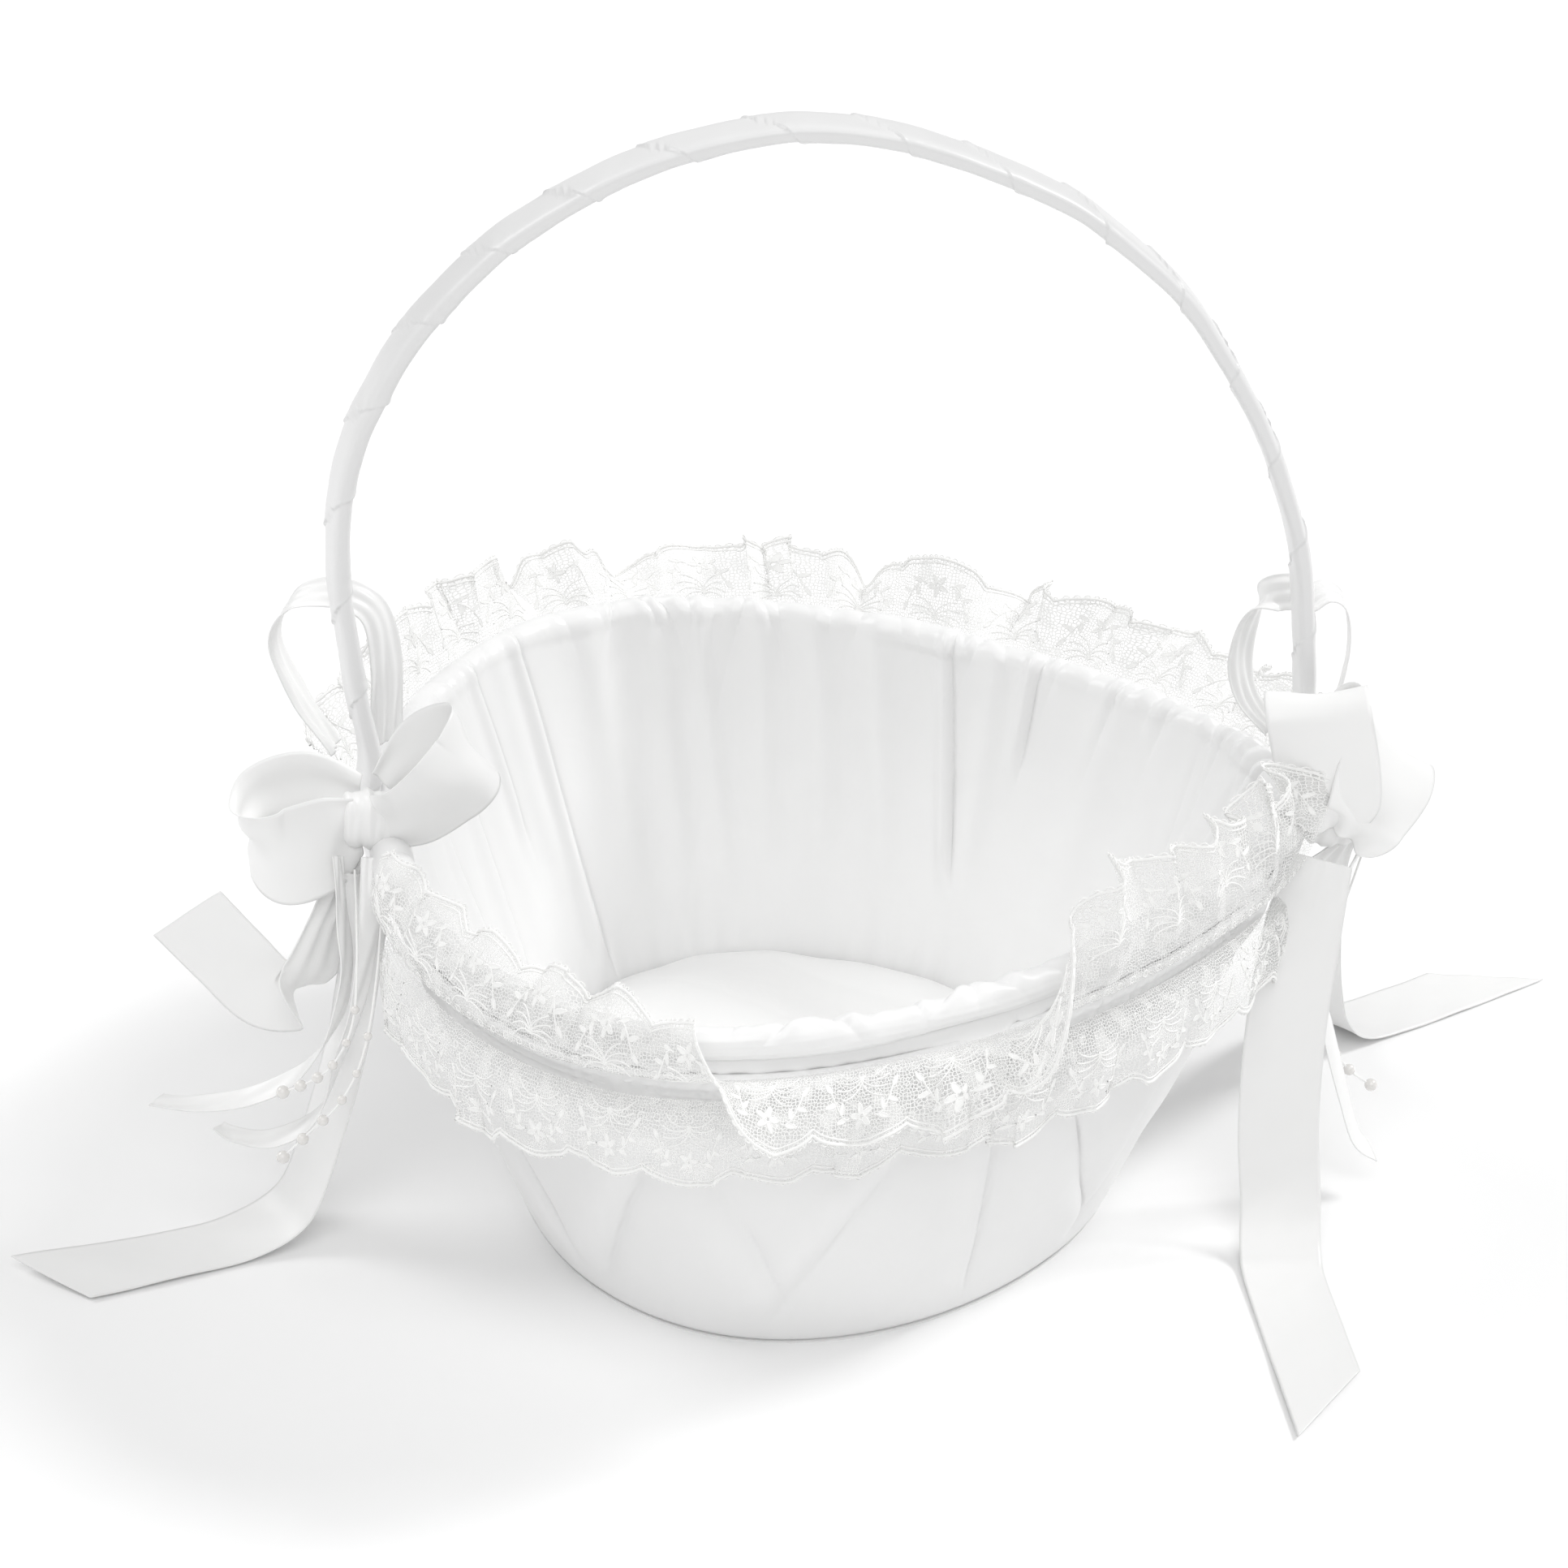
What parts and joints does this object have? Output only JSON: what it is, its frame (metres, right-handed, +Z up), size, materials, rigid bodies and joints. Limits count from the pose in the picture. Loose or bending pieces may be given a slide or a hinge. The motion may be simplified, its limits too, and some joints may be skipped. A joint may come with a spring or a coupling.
{
  "type": "flower girl basket",
  "caption": "Satin-lined carrying basket with a fixed ribbon-wrapped bail handle, lace ruffles round its rim, and bows with tails and pearls at the handle feet; holds petals.",
  "frame": {"origin": "centre of the base, on the floor", "axes": "+Z up; the handle's feet lie on X and +X runs towards the narrow end; -Y is the front"},
  "size_m": [0.4016, 0.2662, 0.2696],
  "materials": {
    "satin_cover": "satin",
    "satin_lining": "satin",
    "satin_wrap": "satin ribbon",
    "satin_ribbon": "satin ribbon",
    "lace": "net lace",
    "thread": "twisted",
    "pearl": "pearlescent",
    "stiff_wall": "matt",
    "cane": "matt",
    "wire": "plain"
  },
  "bodies": {
    "root": {"base_cover_panel": "satin_cover", "base_board": "stiff_wall", "basket_core": "stiff_wall", "outer_cover": "satin_cover", "inner_liner": "satin_lining", "floor_pad": "satin_lining", "rim_hoop": "cane", "rim_roll": "satin_lining", "gathering_band": "satin_lining", "lace_ruffle_upper": "lace", "lace_ruffle_lower": "lace", "handle_core": "cane", "handle_ribbon_wrap": "satin_wrap", "handle_staples": "wire", "left_bow_outer_loop": "satin_ribbon", "left_bow_inner_loop": "satin_ribbon", "left_bow_knot": "satin_ribbon", "left_bow_tie": "wire", "left_bow_back_loops": "satin_ribbon", "left_tail_long": "satin_ribbon", "left_tail_short": "satin_ribbon", "left_streamer_a": "satin_ribbon", "left_streamer_b": "satin_ribbon", "left_pearl_thread_a": "thread", "left_pearls_a": "pearl", "left_pearl_thread_b": "thread", "left_pearls_b": "pearl", "right_bow_front_loop": "satin_ribbon", "right_bow_outer_loop": "satin_ribbon", "right_bow_knot": "satin_ribbon", "right_bow_tie": "wire", "right_bow_back_loops": "satin_ribbon", "right_tail_front": "satin_ribbon", "right_tail_back": "satin_ribbon", "right_streamer": "satin_ribbon", "right_pearl_thread": "thread", "right_pearls": "pearl"}
  },
  "joints": []
}
